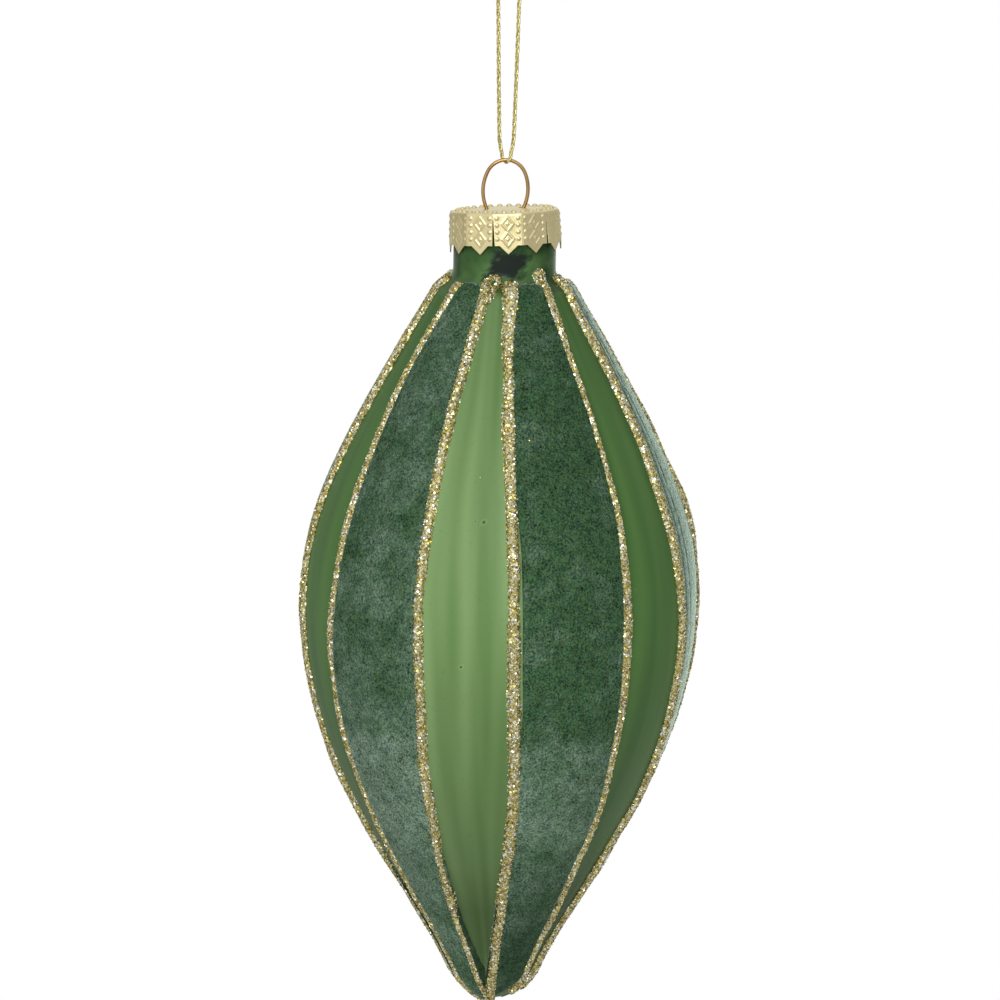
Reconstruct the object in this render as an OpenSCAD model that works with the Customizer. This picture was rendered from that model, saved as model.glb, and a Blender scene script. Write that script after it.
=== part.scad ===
// Drop ornament: a blown glass drop with velvet panels and glitter lines, a crown cap
// with a sprung wire ring, and a knotted thread loop that hangs it.
// Millimetres, +Z up. The origin is the top of the thread loop, where a hook bears.

/* [Glass drop] */
// Largest diameter of the glass, at the belly
belly_d = 68.7; // [55:0.1:85]
// Diameter of the glass at the foot of the shoulder
shoulder_d = 24; // [21:0.1:30]
// Outer diameter of the neck
neck_d = 18; // [16:0.1:20]
// Diameter where the lower flank turns into the nose
nose_d = 15.6; // [12:0.1:20]
// Bare neck that shows below the teeth of the cap
neck_show = 3; // [0.5:0.1:5]
// Height of the shoulder, between neck and upper flank
shoulder_h = 3.8; // [2.5:0.1:6]
// Height of the upper flank, from shoulder to belly
upper_h = 55.5; // [40:0.1:80]
// Height of the lower flank, from belly to nose
lower_h = 64.2; // [45:0.1:90]
// Height of the nose
nose_h = 6.8; // [5:0.1:9]
// Lean of the upper flank at the shoulder, degrees off the axis
upper_lean = 30.5; // [22:0.5:38]
// Lean of the lower flank at the nose, degrees off the axis
lower_lean = 25; // [15:0.5:32]
// Thickness of the glass wall
wall = 0.9; // [0.6:0.05:1.5]

/* [Velvet and glitter] */
// Height of the velvet over the glass
velvet_t = 0.7; // [0.4:0.05:1.2]
// Width of a glitter line
line_w = 1.9; // [1.2:0.05:2.4]
// Height of a glitter line over the glass
line_h = 0.95; // [0.6:0.05:1.4]
// Glue film under the velvet and the glitter lines
glue = 0.1; // [0.06:0.01:0.2]
// Gap between a velvet edge and its glitter line
trim_gap = 0.1; // [0.05:0.01:0.3]

/* [Crown cap] */
// Height of the cap, from its top plate to the tips of the teeth
cap_h = 7.2; // [6:0.1:10]
// Height of the teeth
tooth_h = 1.5; // [0.6:0.05:2]
// Width of the flat between two teeth
tooth_gap = 1.9; // [1:0.05:2.6]
// How far the skirt flares outwards, from plate to hem
flare = 0.35; // [0.1:0.05:0.8]
// Thickness of the pressed sheet
sheet = 0.3; // [0.2:0.05:0.45]
// Clearance between the skirt and the neck
cap_clear = 0.15; // [0.1:0.01:0.4]
// Gap between the top plate and the rim of the neck
seat_gap = 0.1; // [0.05:0.01:0.3]
// Width of the slits between the spring tongues
slit_w = 0.5; // [0.3:0.05:0.8]
// Skirt that is left uncut above a slit
slit_root = 1.2; // [0.8:0.05:2]

/* [Wire ring] */
// Diameter of the wire
wire_d = 0.7; // [0.5:0.05:0.85]
// Height of the ring, from the cap's plate to the wire's centre at the crown
ring_h = 8.7; // [7.5:0.05:10]
// Width of the ring between wire centres
ring_w = 7.86; // [7.2:0.02:9]
// Radius of the crown of the ring
crown_r = 3.55; // [3.2:0.05:3.85]
// Radius of the sides of the ring
side_r = 7.5; // [6.5:0.1:9]
// Radius of the bend below the plate
bend_r = 2.5; // [1.5:0.1:3.5]
// Splay of the spring legs, degrees off the axis
leg_splay = 24; // [18:1:32]
// Gap between a leg's tip and the bore of the neck
leg_gap = 0.1; // [0.05:0.01:0.3]
// Clearance round the wire in the holes of the cap
hole_clear = 0.1; // [0.05:0.01:0.3]

/* [Thread loop] */
// Diameter of the thread
cord_d = 0.7; // [0.5:0.05:0.75]
// Diameter of the knot
knot_d = 2.5; // [2:0.1:3.5]
// Length of the two ends above the knot
tail_l = 7; // [4:0.5:12]
// Gap between the strands and the knot, which they turn under
twist_gap = 0.05; // [0.03:0.01:0.2]

/* [Hidden] */
panels = 6;
lines = 2 * panels;
facets = 12;
// Angles of each glitter line at shoulder, belly and nose, as laid by hand: 0 is the front, + is to the right.
line_turns = [
  [-79, -83, -88],
  [-52, -57, -62],
  [-18, -23.5, -29],
  [3, 4.5, 6],
  [39, 40, 47],
  [62, 65, 72],
  [95, 92.5, 99],
  [123, 123.5, 127],
  [158, 157, 158],
  [184, 185, 187],
  [218, 217, 216],
  [244, 244, 245]
];
// The first facet's edge, in degrees from the front
cap_turn = -12;
// Half of the thread's route, from under the crown of the ring up to the knot: x, y and height over the crown
strand = [
  [0, 0, -0.78],
  [0.15, -0.46, -0.64],
  [0.36, -0.77, -0.18],
  [0.66, -0.79, 0.4],
  [0.8, -0.72, 1],
  [0.93, -0.66, 1.8],
  [1.2, -0.6, 3.4],
  [1.3, -0.6, 5.5],
  [1.42, -0.58, 10],
  [1.55, -0.55, 15],
  [1.7, -0.5, 22],
  [1.85, -0.4, 29],
  [1.9, -0.3, 36],
  [1.6, -0.2, 42],
  [1.1, -0.1, 46],
  [0.6, 0, 48.5],
  [0.45, 0, 50]
];
// Shares of a stretch's own height or radius that the handles of its curve take
shoulder_pull = [0.5, 0.4];
upper_pull = [0.63, 0.275];
lower_pull = [0.453, 0.227];
nose_pull = [0.645, 0.32];
// Steps along the shoulder, upper flank, lower flank and nose
steps = [5, 12, 14, 6];
// Rows of the shoulder that the glitter lines reach up
line_rise = 3;
// Steps across a velvet panel
panel_steps = 6;
// Radius at which the velvet ends, and the glitter lines, near the tip
velvet_end_r = 4.5;
line_end_r = 3;
// Most of the local radius that half a line's width may take
line_taper = 0.17;
joint_swell = 0.02;
tail_lean = 18;
cord_sides = 8;
cord_steps = 2;

// Heights
loop_h = strand[len(strand) - 1][2];
crown_z = -loop_h;
plate_z = crown_z - ring_h;
hem_z = plate_z - cap_h;
rim_z = plate_z - sheet - seat_gap;
neck_z = hem_z - neck_show;
shoulder_z = neck_z - shoulder_h;
belly_z = shoulder_z - upper_h;
nose_z = belly_z - lower_h;
tip_z = nose_z - nose_h;

// Outline of the glass, as [radius, height] from the rim down to the tip
bore_r = neck_d / 2 - wall;
shoulder_at = [shoulder_d / 2, shoulder_z];
belly_at = [belly_d / 2, belly_z];
nose_at = [nose_d / 2, nose_z];
upper_way = [sin(upper_lean), -cos(upper_lean)];
lower_way = [-sin(lower_lean), -cos(lower_lean)];

function bezier(p, t) =
  p[0] * pow(1 - t, 3) + 3 * p[1] * t * pow(1 - t, 2) + 3 * p[2] * t * t * (1 - t) + p[3] * pow(t, 3);
function run(p, n) = [for (i = [1 : n]) bezier(p, i / n)];

shoulder_run = run([
  [neck_d / 2, neck_z],
  [neck_d / 2, neck_z - shoulder_pull[0] * shoulder_h],
  shoulder_at - shoulder_pull[1] * shoulder_h * upper_way,
  shoulder_at
], steps[0]);
upper_run = run([
  shoulder_at,
  shoulder_at + upper_pull[0] * upper_h * upper_way,
  belly_at + [0, upper_pull[1] * upper_h],
  belly_at
], steps[1]);
lower_run = run([
  belly_at,
  belly_at - [0, lower_pull[0] * lower_h],
  nose_at - lower_pull[1] * lower_h * lower_way,
  nose_at
], steps[2]);
nose_run = run([
  nose_at,
  nose_at + nose_pull[0] * nose_h * lower_way,
  [nose_pull[1] * nose_d / 2, tip_z],
  [0, tip_z]
], steps[3]);
skin = concat([[neck_d / 2, neck_z]], shoulder_run, upper_run, lower_run, nose_run);
skin_last = len(skin) - 1;
flank_first = steps[0];

function unit(v) = v / norm(v);
// Outward normal of the outline at row i
function way_out(i) =
  i == 0 ? [1, 0] :
  i == skin_last ? [0, -1] :
  let (way = unit(skin[i + 1] - skin[i - 1])) [-way[1], way[0]];
function raised(i, h) = skin[i] + h * way_out(i);
// Rows from the one given down to the one where the glass has shrunk to end_r
function rows(first, end_r) = [for (i = [first : skin_last]) if (skin[i][1] > belly_z || skin[i][0] > end_r) i];

// A point h over the glass at row i, turned by a from the front
function on_glass(i, a, h) = let (p = raised(i, h)) [p[0] * sin(a), -p[0] * cos(a), p[1]];
function three_way(v, t) = v[0] * (1 - t) * (1 - 2 * t) + 4 * v[1] * t * (1 - t) + v[2] * t * (2 * t - 1);
function line_angle(k, i) = three_way(line_turns[k], (shoulder_z - skin[i][1]) / (shoulder_z - nose_z));
function line_half(i) = min(line_w / 2, line_taper * skin[i][0]);
function edge_turn(i) = asin((line_half(i) + trim_gap) / skin[i][0]);

// Section of a glitter line at row i: a low loaf on the glue
function line_ring(k, i) =
  let (a = line_angle(k, i), w = line_half(i), across = [cos(a), sin(a), 0])
  [for (q = [[-1, 0], [1, 0], [0.8, 0.6], [0.35, 1], [-0.35, 1], [-0.8, 0.6]])
    on_glass(i, a, max(glue, q[1] * line_h)) + q[0] * w * across];

// Section of a velvet panel at row i, between line k and the next
function velvet_ring(k, i) =
  let (
    next = (k + 1) % lines,
    from = line_angle(k, i) + edge_turn(i),
    to = line_angle(next, i) + (next < k ? 360 : 0) - edge_turn(i),
    angles = [for (j = [0 : panel_steps]) from + (to - from) * j / panel_steps]
  )
  concat(
    [for (a = angles) on_glass(i, a, glue)],
    [for (j = [panel_steps : -1 : 0]) on_glass(i, angles[j], velvet_t)]
  );

// A closed skin over rings of points that follow each other
module loft(rings) {
  n = len(rings[0]);
  last = (len(rings) - 1) * n;
  sides = [
    for (j = [0 : len(rings) - 2])
      for (i = [0 : n - 1])
        let (a = j * n + i, b = j * n + (i + 1) % n)
          each [[a, a + n, b + n], [a, b + n, b]]
  ];
  first_end = [for (i = [0 : n / 2 - 2]) each [[i, i + 1, n - 2 - i], [i, n - 2 - i, n - 1 - i]]];
  last_end = [for (f = first_end) [last + f[0], last + f[2], last + f[1]]];
  polyhedron([for (ring = rings) each ring], concat(sides, first_end, last_end), convexity = 6);
}

module glass_body() {
  inside = concat(
    [[0, tip_z + wall]],
    [for (i = [skin_last - 1 : -1 : 0]) raised(i, -wall)],
    [[bore_r, rim_z]]
  );
  color("olivedrab")
    rotate_extrude($fn = 180)
      polygon(concat([[neck_d / 2, rim_z]], skin, inside));
}

module velvet_panel(k) {
  color("darkslategray")
    loft([for (i = rows(flank_first, velvet_end_r)) velvet_ring(2 * k + 1, i)]);
}

module glitter_line(k) {
  color("darkkhaki")
    loft([for (i = rows(flank_first - line_rise, line_end_r)) line_ring(k, i)]);
}

// Crown cap
facet_half = 180 / facets;
plate_r = (neck_d / 2 + cap_clear + sheet) / cos(facet_half);
hem_r = plate_r + flare;
tooth_half = hem_r * sin(facet_half);
sheet_r = sheet / cos(facet_half);

// Ring: the crown arc runs on into two side arcs, which meet the plate at the foot
side_turn = asin((side_r - ring_w / 2) / (side_r - crown_r));
side_at = [ring_w / 2 - side_r, crown_z - crown_r - (side_r - crown_r) * cos(side_turn)];
foot_turn = asin((side_at[1] - plate_z) / side_r);
foot_at = side_at + side_r * [cos(foot_turn), -sin(foot_turn)];
bend_at = foot_at + bend_r * [cos(foot_turn), -sin(foot_turn)];
leg_at = bend_at - bend_r * [cos(leg_splay), sin(leg_splay)];
leg_l = (bore_r - leg_gap - wire_d / 2 - leg_at[0]) / sin(leg_splay);
hole_x = foot_at[0] - sheet / 2 * tan(foot_turn);
hole_d = (wire_d + sheet * sin(foot_turn)) / cos(foot_turn) + 2 * hole_clear;

// What is cut from the hem between two teeth, as seen from outside
module tooth_cut() {
  drop = cap_h;
  lean = (tooth_half - tooth_gap / 2) / tooth_h;
  rotate([90, 0, 0])
    linear_extrude(hem_r + flare)
      polygon([
        [-tooth_gap / 2, hem_z + tooth_h],
        [-tooth_gap / 2 - lean * (tooth_h + drop), hem_z - drop],
        [tooth_gap / 2 + lean * (tooth_h + drop), hem_z - drop],
        [tooth_gap / 2, hem_z + tooth_h]
      ]);
}

module slit_cut() {
  translate([-slit_w / 2, -hem_r - flare, hem_z - tooth_h])
    cube([slit_w, hem_r + flare, cap_h + tooth_h - slit_root]);
}

module crown_cap() {
  edge = cap_turn - 90;
  color("palegoldenrod")
    difference() {
      rotate([0, 0, edge])
        translate([0, 0, hem_z])
          cylinder(h = cap_h, r1 = hem_r, r2 = plate_r, $fn = facets);
      rotate([0, 0, edge])
        translate([0, 0, hem_z - sheet])
          cylinder(h = cap_h, r1 = hem_r - sheet_r, r2 = plate_r - sheet_r, $fn = facets);
      for (i = [0 : facets - 1])
        rotate([0, 0, cap_turn + i * 360 / facets])
          tooth_cut();
      for (i = [0 : facets / 2 - 1])
        rotate([0, 0, cap_turn + i * 720 / facets])
          slit_cut();
      for (x = [-hole_x, hole_x])
        translate([x, 0, plate_z - 2 * sheet])
          cylinder(h = 3 * sheet, d = hole_d, $fn = 32);
    }
}

// An arc of wire in the plane of the ring, between two angles from +X
module wire_arc(at, r, from, to) {
  translate([at[0], 0, at[1]])
    rotate([90, 0, 0])
      rotate([0, 0, from])
        rotate_extrude(angle = to - from, $fn = 96)
          translate([r, 0])
            circle(d = wire_d, $fn = 32);
}

// Two stretches of wire run into each other inside a ball a hair wider than the wire
module wire_joint(at) {
  translate([at[0], 0, at[1]])
    sphere(d = wire_d + joint_swell, $fn = 32);
}

module wire_side() {
  wire_joint(side_at + side_r * [sin(side_turn), cos(side_turn)]);
  wire_arc(side_at, side_r, -foot_turn, 90 - side_turn);
  wire_joint(foot_at);
  wire_arc(bend_at, bend_r, 180 - foot_turn, 180 + leg_splay);
  wire_joint(leg_at);
  translate([leg_at[0], 0, leg_at[1]])
    rotate([0, 180 - leg_splay, 0])
      cylinder(h = leg_l, d = wire_d, $fn = 32);
  wire_joint(leg_at + leg_l * [sin(leg_splay), -cos(leg_splay)]);
}

module hanger_wire() {
  color("peru") {
    wire_arc([0, crown_z - crown_r], crown_r, 90 - side_turn, 90 + side_turn);
    wire_side();
    mirror([1, 0, 0])
      wire_side();
  }
}

// Thread: one strand up each side of the ring's crown, the right one in front
cord_points = concat(
  [for (i = [len(strand) - 1 : -1 : 1]) [-strand[i][0], -strand[i][1], strand[i][2] + crown_z]],
  [for (p = strand) p + [0, 0, crown_z]]
);
cord_last = len(cord_points) - 1;

// A smooth curve through the route's points
function cord_near(i) = cord_points[min(max(i, 0), cord_last)];
function cord_curve(i, t) =
  let (a = cord_near(i - 1), b = cord_near(i), c = cord_near(i + 1), d = cord_near(i + 2))
  b + t / 2 * (c - a + t * (2 * a - 5 * b + 4 * c - d + t * (3 * b - a - 3 * c + d)));
cord_path = concat(
  [for (i = [0 : cord_last - 1]) for (j = [0 : cord_steps - 1]) cord_curve(i, j / cord_steps)],
  [cord_points[cord_last]]
);
cord_end = len(cord_path) - 1;

function cord_way(i) =
  i == 0 ? [0, 0, -1] :
  i == cord_end ? [0, 0, 1] :
  unit(cord_path[i + 1] - cord_path[i - 1]);
// The loop hangs in an upright plane, and this points square to it
cord_square = unit([1, 1, 0]);
function cord_ring(i) =
  let (way = cord_way(i), u = unit(cord_square - (cord_square * way) * way), v = cross(way, u))
  [for (j = [0 : cord_sides - 1])
    let (a = j * 360 / cord_sides) cord_path[i] + cord_d / 2 * (cos(a) * u + sin(a) * v)];

module hanging_cord() {
  color("goldenrod")
    loft([for (i = [0 : cord_end]) cord_ring(i)]);
}

module cord_knot() {
  knot_z = knot_d * 0.44;
  color("goldenrod") {
    difference() {
      translate([0, 0, knot_z])
        sphere(d = knot_d, $fn = 48);
      translate([-knot_d, -knot_d, twist_gap - knot_d])
        cube([2 * knot_d, 2 * knot_d, knot_d]);
    }
    for (lean = [-tail_lean, tail_lean])
      translate([0, 0, knot_z])
        rotate([0, lean, 0])
          cylinder(h = knot_d / 2 + tail_l, d = cord_d, $fn = 24);
  }
}

glass_body();
for (i = [1 : panels])
  velvet_panel(i - 1);
for (i = [1 : lines])
  glitter_line(i - 1);
crown_cap();
hanger_wire();
hanging_cord();
cord_knot();
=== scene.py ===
"""Looks of the drop ornament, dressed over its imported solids.

Metres, +Z up, the origin at the top of the thread loop. An angle round the axis is 0 at the front (-Y) and
grows towards the right (+X). A distance below the neck is measured along the glass, from the neck's foot.
"""
import math

import bmesh
import bpy
import numpy as np
from mathutils import Matrix, Quaternion, Vector


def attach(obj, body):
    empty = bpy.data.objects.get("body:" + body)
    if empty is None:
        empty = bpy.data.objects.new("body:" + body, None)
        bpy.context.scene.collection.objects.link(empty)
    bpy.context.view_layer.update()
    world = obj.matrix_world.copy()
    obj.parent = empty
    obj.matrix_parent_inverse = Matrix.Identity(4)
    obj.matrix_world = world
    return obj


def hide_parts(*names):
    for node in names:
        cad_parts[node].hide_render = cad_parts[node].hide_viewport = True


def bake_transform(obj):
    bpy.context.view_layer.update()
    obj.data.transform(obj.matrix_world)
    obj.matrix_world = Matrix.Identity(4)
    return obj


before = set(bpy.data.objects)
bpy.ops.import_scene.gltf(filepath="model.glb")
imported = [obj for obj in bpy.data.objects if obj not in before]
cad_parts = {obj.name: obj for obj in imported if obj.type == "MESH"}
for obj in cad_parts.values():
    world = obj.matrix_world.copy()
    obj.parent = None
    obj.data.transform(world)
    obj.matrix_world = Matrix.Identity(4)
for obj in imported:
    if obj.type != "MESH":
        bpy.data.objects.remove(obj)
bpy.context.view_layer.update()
scene = bpy.context.scene
MM = 0.001
SEED = 7

# Camera
AIM = Vector((-0.13, 0, -110.0)) * MM
CAMERA_AWAY = 1.1
CAMERA_UP = 7.5
CAMERA_ROLL = math.radians(0.92)
PHOTO_PX = 1000
FOCAL_PX = 6245
SENSOR_MM = 36

# Soft boxes: name, angle round the axis, angle up, distance, width, power, and whether gloss shows it
LIGHTS = (
    ("front_box", -4, 8, 1.3, 1.5, 11.0, False),
    ("key_box", -8, 27, 1.2, 0.75, 5.6, True),
    ("right_rim", 152, 6, 1.0, 0.4, 12.5, False),
    ("left_rim", -150, 12, 1.0, 0.6, 1.5, False),
)
# Shades in what the gloss sees: angle round, angle up, angle of the outer edge, of the core, and depth
SHADES = (
    (95, -5, 75, 35, 0.42),
    (-125, -5, 60, 30, 0.45),
    (0, -70, 62, 30, 0.85),
    (4, -12, 32, 12, 0.22),
)
AMBIENT = 0.1
FLOOR_R = 0.45
FLOOR_BELOW = 0.12

# Glass outline, the same stretches as the solid's
NECK_R = 9.0 * MM
SHOULDER_R = 12.0 * MM
BELLY_R = 34.35 * MM
NOSE_R = 7.8 * MM
NECK_SHOW = 3.0 * MM
SHOULDER_H = 3.8 * MM
UPPER_H = 55.5 * MM
LOWER_H = 64.2 * MM
NOSE_H = 6.8 * MM
UPPER_LEAN = math.radians(30.5)
LOWER_LEAN = math.radians(25)
WALL = 0.9 * MM
SHOULDER_PULL = (0.5, 0.4)
UPPER_PULL = (0.63, 0.275)
LOWER_PULL = (0.453, 0.227)
NOSE_PULL = (0.645, 0.32)

# Cap, wire and thread: the solids' sizes, but the wire a little thinner
LOOP_H = 50.0 * MM
RING_H = 8.7 * MM
CAP_H = 7.2 * MM
TOOTH_H = 1.5 * MM
TOOTH_GAP = 1.9 * MM
FLARE = 0.35 * MM
SHEET = 0.3 * MM
SEAT_GAP = 0.1 * MM
CAP_CLEAR = 0.15 * MM
SLIT_W = 0.5 * MM
SLIT_ROOT = 1.2 * MM
FACETS = 12
CAP_TURN = math.radians(-12)
WIRE_R = 0.33 * MM
RING_W = 7.86 * MM
CROWN_R = 3.55 * MM
SIDE_R = 7.5 * MM
BEND_R = 2.5 * MM
LEG_SPLAY = math.radians(24)
LEG_GAP = 0.1 * MM

CROWN_Z = -LOOP_H
PLATE_Z = CROWN_Z - RING_H
HEM_Z = PLATE_Z - CAP_H
RIM_Z = PLATE_Z - SHEET - SEAT_GAP
NECK_Z = HEM_Z - NECK_SHOW
SHOULDER_Z = NECK_Z - SHOULDER_H
BELLY_Z = SHOULDER_Z - UPPER_H
NOSE_Z = BELLY_Z - LOWER_H
TIP_Z = NOSE_Z - NOSE_H

# Glitter lines: angles at shoulder, belly and nose; width at the belly, distance below the neck at which it
# starts and radius at which it ends, in mm; and how much wider its start is
LINES = (
    ((-79, -83, -88), 1.85, 1.6, 1.8, 0.5),
    ((-52, -57, -62), 1.4, 2.7, 1.4, 0.7),
    ((-18, -23.5, -29), 1.6, 1.3, 0.9, 0.1),
    ((3, 4.5, 6), 2.05, 1.9, 0.9, 0.35),
    ((39, 40, 47), 1.7, -0.5, 4.0, 0.5),
    ((62, 65, 72), 2.0, 0.9, 4.2, 0.0),
    ((95, 92.5, 99), 1.9, 2.8, 2.6, 0.5),
    ((123, 123.5, 127), 1.7, 1.8, 2.2, 0.4),
    ((158, 157, 158), 1.9, 2.3, 1.6, 0.4),
    ((184, 185, 187), 1.6, 1.5, 2.4, 0.3),
    ((218, 217, 216), 1.8, 2.0, 2.0, 0.4),
    ((244, 244, 245), 1.9, 1.2, 1.5, 0.4),
)
# The tables below are by line, counted from 0, with distances below the neck in mm
# Where a line is drawn thinner: shares of its width
SLIM = {4: ((5, 1.0), (14, 0.8), (26, 0.68), (38, 0.72), (52, 0.8), (60, 1.0))}
# How the hand that drew the lines strayed: steps aside, in mm
WANDER = {
    1: ((4, 1.2), (9, 0.9), (20, -0.4), (32, -0.3), (48, 0.6), (60, 0.6), (75, 0.0), (100, 0.4), (125, 0.2)),
    2: ((8, 0.3), (27, -0.75), (50, -0.9), (68, -0.1), (80, 0.5), (89, 0.0), (101, 0.25), (125, -0.1),
        (139, 1.0)),
    3: ((3, 0.6), (18, -0.2), (38, -0.1), (52, 0.05), (72, 0.0), (97, 0.65), (112, 0.0), (122, -0.4),
        (139, -1.0)),
    4: ((0, 0.5), (8, -0.2), (27, 0.5), (46, 0.6), (56, -0.1), (75, -0.25), (89, -0.2), (101, 0.5),
        (113, 0.0), (125, 0.2)),
    5: ((0, 1.3), (4, 0.9), (9, 0.6), (18, 1.3), (34, 1.4), (43, 0.6), (57, 0.8), (75, 1.7), (98, 1.9),
        (107, 0.3), (115, 0.2), (128, 0.9)),
    6: ((5, 0.3), (20, 0.7), (32, 0.2), (44, -1.5), (52, -1.8), (60, -0.9), (70, 0.4), (82, 1.5), (98, 1.2),
        (112, 0.6)),
}
# Where a line stands higher: how many times its height
LUMPS = {6: ((38, 1.0), (45, 1.5), (52, 1.6), (57, 1.0))}
# The turned-back start of one line: steps aside, in mm
HOOK_LINE = 2
HOOK = ((1.4, 0.2), (1.1, 0.9), (1.4, 1.6), (2.6, 1.85), (4.4, 1.5), (6.5, 0.8))
PANELS = 6
VELVET_T = 0.7 * MM
LINE_H = 0.95 * MM


# Camera, light and floor
def linked(name, data):
    thing = bpy.data.objects.new(name, data)
    scene.collection.objects.link(thing)
    return thing


def towards(turn, up):
    """The direction at an angle round the axis and an angle above the horizon, both in degrees."""
    turn, up = math.radians(turn), math.radians(up)
    return Vector((math.sin(turn) * math.cos(up), -math.cos(turn) * math.cos(up), math.sin(up)))


def aimed(name, data, target, side, away, roll=0.0):
    """A camera or lamp that looks at a target from a side of it."""
    thing = linked(name, data)
    thing.location = target + side * away
    thing.rotation_mode = "QUATERNION"
    thing.rotation_quaternion = (-side).to_track_quat("-Z", "Y") @ Quaternion((0, 0, 1), roll)
    return thing


def make_camera():
    data = bpy.data.cameras.new("camera")
    data.sensor_width = SENSOR_MM
    data.lens = SENSOR_MM * FOCAL_PX / PHOTO_PX
    scene.camera = aimed("camera", data, AIM, towards(0, CAMERA_UP), CAMERA_AWAY, CAMERA_ROLL)


def make_light(name, turn, up, away, size, power, mirrored):
    """A round soft box that faces the drop; one that isn't mirrored leaves no image in the gloss."""
    data = bpy.data.lights.new(name, "AREA")
    data.shape = "DISK"
    data.size = size
    data.energy = power
    lamp = aimed(name, data, Vector((0, 0, BELLY_Z)), towards(turn, up), away)
    lamp.visible_glossy = mirrored


def make_world():
    """Camera, glossy and transmission rays meet white, which the gloss sees shaded in a few directions."""
    world = bpy.data.worlds.new("studio")
    scene.world = world
    world.use_nodes = True
    tree = world.node_tree
    tree.nodes.clear()
    net = Nodes(tree)
    rays = tree.nodes.new("ShaderNodeLightPath").outputs
    way = net.add("ShaderNodeTexCoord", {}, "Generated")
    level = 1.0
    for turn, up, outer, core, depth in SHADES:
        facing = {0: way, 1: towards(turn, up)}
        near = net.add("ShaderNodeVectorMath", facing, "Value", operation="DOT_PRODUCT")
        first, full = math.cos(math.radians(outer)), math.cos(math.radians(core))
        level = net.times(net.between(near, first, full, 1.0, 1.0 - depth), level)
    glossy = net.times(rays["Is Glossy Ray"], level)
    shown = net.calc("MAXIMUM", rays["Is Camera Ray"], rays["Is Transmission Ray"])
    strength = net.calc("MAXIMUM", net.calc("MAXIMUM", shown, glossy), AMBIENT)
    back = net.add("ShaderNodeBackground", {"Color": (1, 1, 1, 1), "Strength": strength})
    net.feed(tree.nodes.new("ShaderNodeOutputWorld"), {0: back})


def make_floor():
    """A pale round table top below the ornament, out of the photograph's view."""
    mesh = bpy.data.meshes.new("floor")
    work = bmesh.new()
    bmesh.ops.create_circle(work, cap_ends=True, segments=96, radius=FLOOR_R)
    work.to_mesh(mesh)
    work.free()
    floor = linked("floor", mesh)
    floor.location = (0, 0, TIP_Z - FLOOR_BELOW)
    mesh.materials.append(floor_paint())


# Node helpers
class Nodes:
    """The nodes of a material or world. A method adds a node and gives its output, which others take."""

    def __init__(self, tree):
        self.tree = tree

    def feed(self, node, inputs):
        """Links or sets the inputs of a node."""
        for key, value in inputs.items():
            if isinstance(value, bpy.types.NodeSocket):
                self.tree.links.new(value, node.inputs[key])
            else:
                node.inputs[key].default_value = value
        return node

    def add(self, kind, inputs, output=0, **settings):
        node = self.tree.nodes.new(kind)
        for key, value in settings.items():
            setattr(node, key, value)
        return self.feed(node, inputs).outputs[output]

    def calc(self, operation, a, b=0.0):
        return self.add("ShaderNodeMath", {0: a, 1: b}, operation=operation)

    def plus(self, a, b):
        return self.calc("ADD", a, b)

    def minus(self, a, b):
        return self.calc("SUBTRACT", a, b)

    def times(self, a, b):
        return self.calc("MULTIPLY", a, b)

    def noise(self, place, scale, detail=2.0, rough=0.5):
        inputs = {"Vector": place, "Scale": scale, "Detail": detail, "Roughness": rough}
        return self.add("ShaderNodeTexNoise", inputs)

    def between(self, value, low, high, to_low=0.0, to_high=1.0):
        """A value as it goes from low to high, mapped to a new range and kept in it."""
        inputs = {"Value": value, "From Min": low, "From Max": high, "To Min": to_low, "To Max": to_high}
        return self.add("ShaderNodeMapRange", inputs)

    def blend(self, share, a, b):
        """The colour a, with a share of b."""
        return self.add("ShaderNodeMix", {0: share, 6: a, 7: b}, 2, data_type="RGBA")

    def ramp(self, value, stops, interpolation="LINEAR"):
        """A colour ramp through stops of a place and a grey level or a colour."""
        node = self.tree.nodes.new("ShaderNodeValToRGB")
        ramp = node.color_ramp
        ramp.interpolation = interpolation
        while len(ramp.elements) < len(stops):
            ramp.elements.new(1.0)
        for element, (at, level) in zip(ramp.elements, stops):
            element.position = at
            element.color = (level, level, level, 1.0) if isinstance(level, float) else level
        return self.feed(node, {0: value}).outputs[0]

    def bump(self, height, strength, distance):
        return self.add("ShaderNodeBump", {"Height": height, "Strength": strength, "Distance": distance})

    def place(self):
        return self.add("ShaderNodeTexCoord", {}, "Object")

    def around(self, place):
        """The angle round the axis, the distance to the right and the height of a place."""
        x, y, z = self.feed(self.tree.nodes.new("ShaderNodeSeparateXYZ"), {0: place}).outputs
        return self.calc("ARCTAN2", x, self.times(y, -1.0)), x, z


def new_material(name):
    paint = bpy.data.materials.new(name)
    paint.use_nodes = True
    return paint, Nodes(paint.node_tree), paint.node_tree.nodes["Principled BSDF"]


def rgb(red, green, blue):
    """A colour given as seen, 0 to 255, as the linear colour of a shader."""
    seen = [c / 255 for c in (red, green, blue)]
    return (*[c / 12.92 if c < 0.04 else ((c + 0.055) / 1.055) ** 2.4 for c in seen], 1.0)


# Materials
def floor_paint():
    paint, net, shader = new_material("floor_paint")
    grain = net.noise(net.place(), 60.0, 4.0)
    colour = net.blend(grain, rgb(236, 235, 232), rgb(246, 245, 243))
    net.feed(shader, {"Base Color": colour, "Roughness": 0.7})
    return paint


# Painted shade: how far the lacquer is darkened from just over the belly down to the tip
FOOT_SHADE = (
    (0.0, 0.0), (0.1, 0.05), (0.21, 0.16), (0.44, 0.36), (0.63, 0.52), (0.76, 0.76), (0.86, 0.76),
    (1.0, 0.45),
)
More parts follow.
